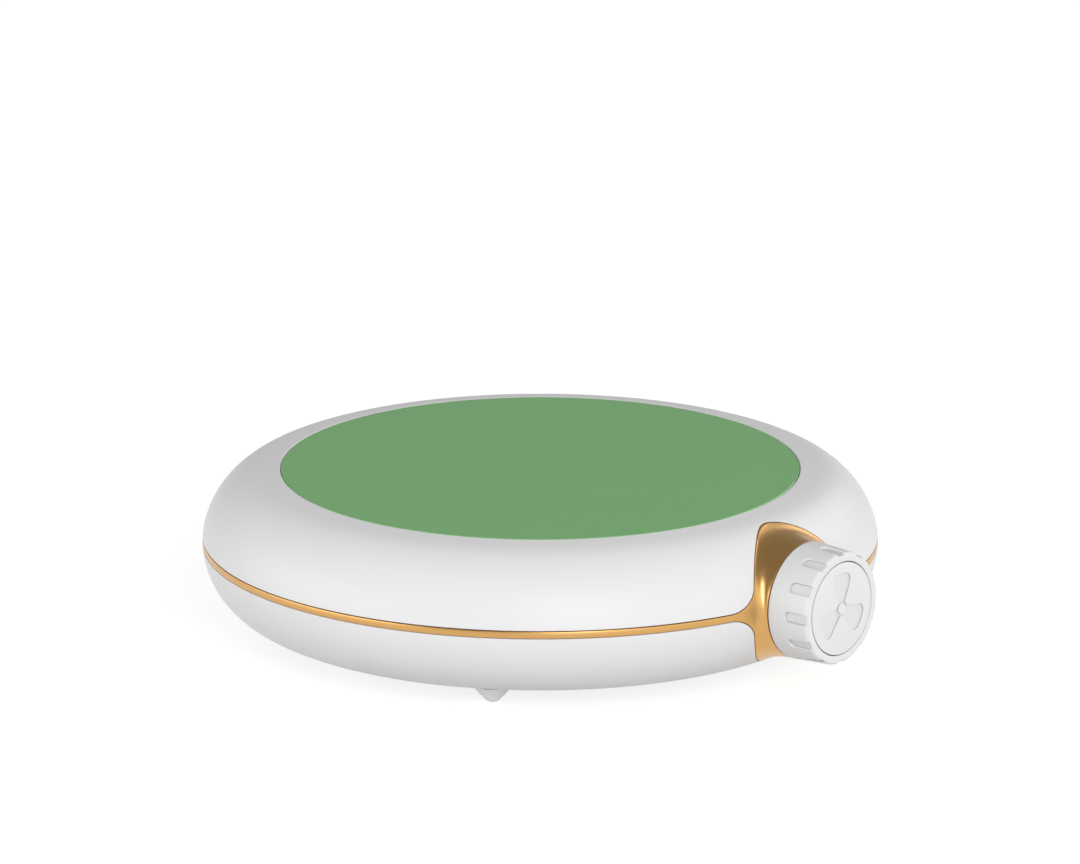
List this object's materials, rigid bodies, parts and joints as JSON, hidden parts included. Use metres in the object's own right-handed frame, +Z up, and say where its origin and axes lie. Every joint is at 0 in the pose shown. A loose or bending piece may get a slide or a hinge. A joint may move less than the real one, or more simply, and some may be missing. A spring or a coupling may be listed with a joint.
{
  "type": "electric mug warmer",
  "caption": "Round puck-shaped mug warmer with a flat glass plate, a magnetic stirrer inside, a switch knob in a flared collar on its side and a small power inlet behind.",
  "frame": {"origin": "on the table under the centre of the puck, in the plane of the three foot soles", "axes": "+Z up through the centre of the warming plate, -Y towards the knob, +Y towards the power inlet"},
  "size_m": [0.135, 0.1443, 0.0331],
  "materials": {
    "white_shell": "smooth satin white moulding",
    "white_knob": "smooth satin white moulding",
    "gold_trim": "satin gold plating on moulded plastic",
    "green_glass": "glossy toughened glass, printed green underneath",
    "foot_rubber": "white rubber",
    "seal_rubber": "black silicone",
    "steel": "zinc-plated steel",
    "nickel": "nickel plating",
    "aluminium": "bare aluminium",
    "tinned_brass": "tinned brass",
    "heater_film": "amber polyimide film",
    "fibre_pad": "white fibre felt",
    "foam": "dark foam",
    "black_plastic": "black moulding",
    "white_ceramic": "white ceramic",
    "circuit_board": "green solder mask",
    "white_plug": "cream nylon",
    "red_lead": "red silicone insulation",
    "black_lead": "black silicone insulation"
  },
  "bodies": {
    "casing": {"upper_shell": "white_shell", "lower_shell": "white_shell", "trim_ring": "gold_trim", "feet": "foot_rubber", "case_screws": "steel", "glass_plate": "green_glass", "plate_gasket": "seal_rubber", "heat_spreader": "aluminium", "heating_film": "heater_film", "insulation_pad": "fibre_pad", "thermistor": "black_plastic", "thermal_fuse": "white_ceramic", "motor_body": "steel", "motor_tabs": "tinned_brass", "motor_damper": "foam", "motor_bracket": "steel", "bracket_screws": "steel", "motor_screws": "steel", "control_housing": "black_plastic", "control_bush": "tinned_brass", "control_nut": "steel", "control_pins": "tinned_brass", "control_board": "circuit_board", "board_screws": "steel", "usb_socket": "nickel", "usb_tongue": "black_plastic", "controller_chip": "black_plastic", "power_choke": "black_plastic", "capacitors": "black_plastic", "power_transistors": "black_plastic", "board_headers": "white_plug", "heater_leads": "red_lead", "sensor_leads": "black_lead", "motor_leads": "red_lead", "control_leads": "black_lead"},
    "dial": {"control_shaft": "aluminium", "knob": "white_knob", "knob_cap": "white_knob"},
    "stirrer": {"motor_shaft": "steel", "magnet_carrier": "black_plastic", "stir_magnets": "nickel"}
  },
  "joints": [
    {"name": "knob_turn", "type": "hinge", "parent": "casing", "child": "dial", "pos_m": [0, -0.0727, 0.0185], "axis": [0, 1, 0], "range_deg": [0, 300]},
    {"name": "stirrer_spin", "type": "hinge", "parent": "casing", "child": "stirrer", "pos_m": [0, 0, 0.0231], "axis": [0, 0, 1], "continuous": true}
  ]
}
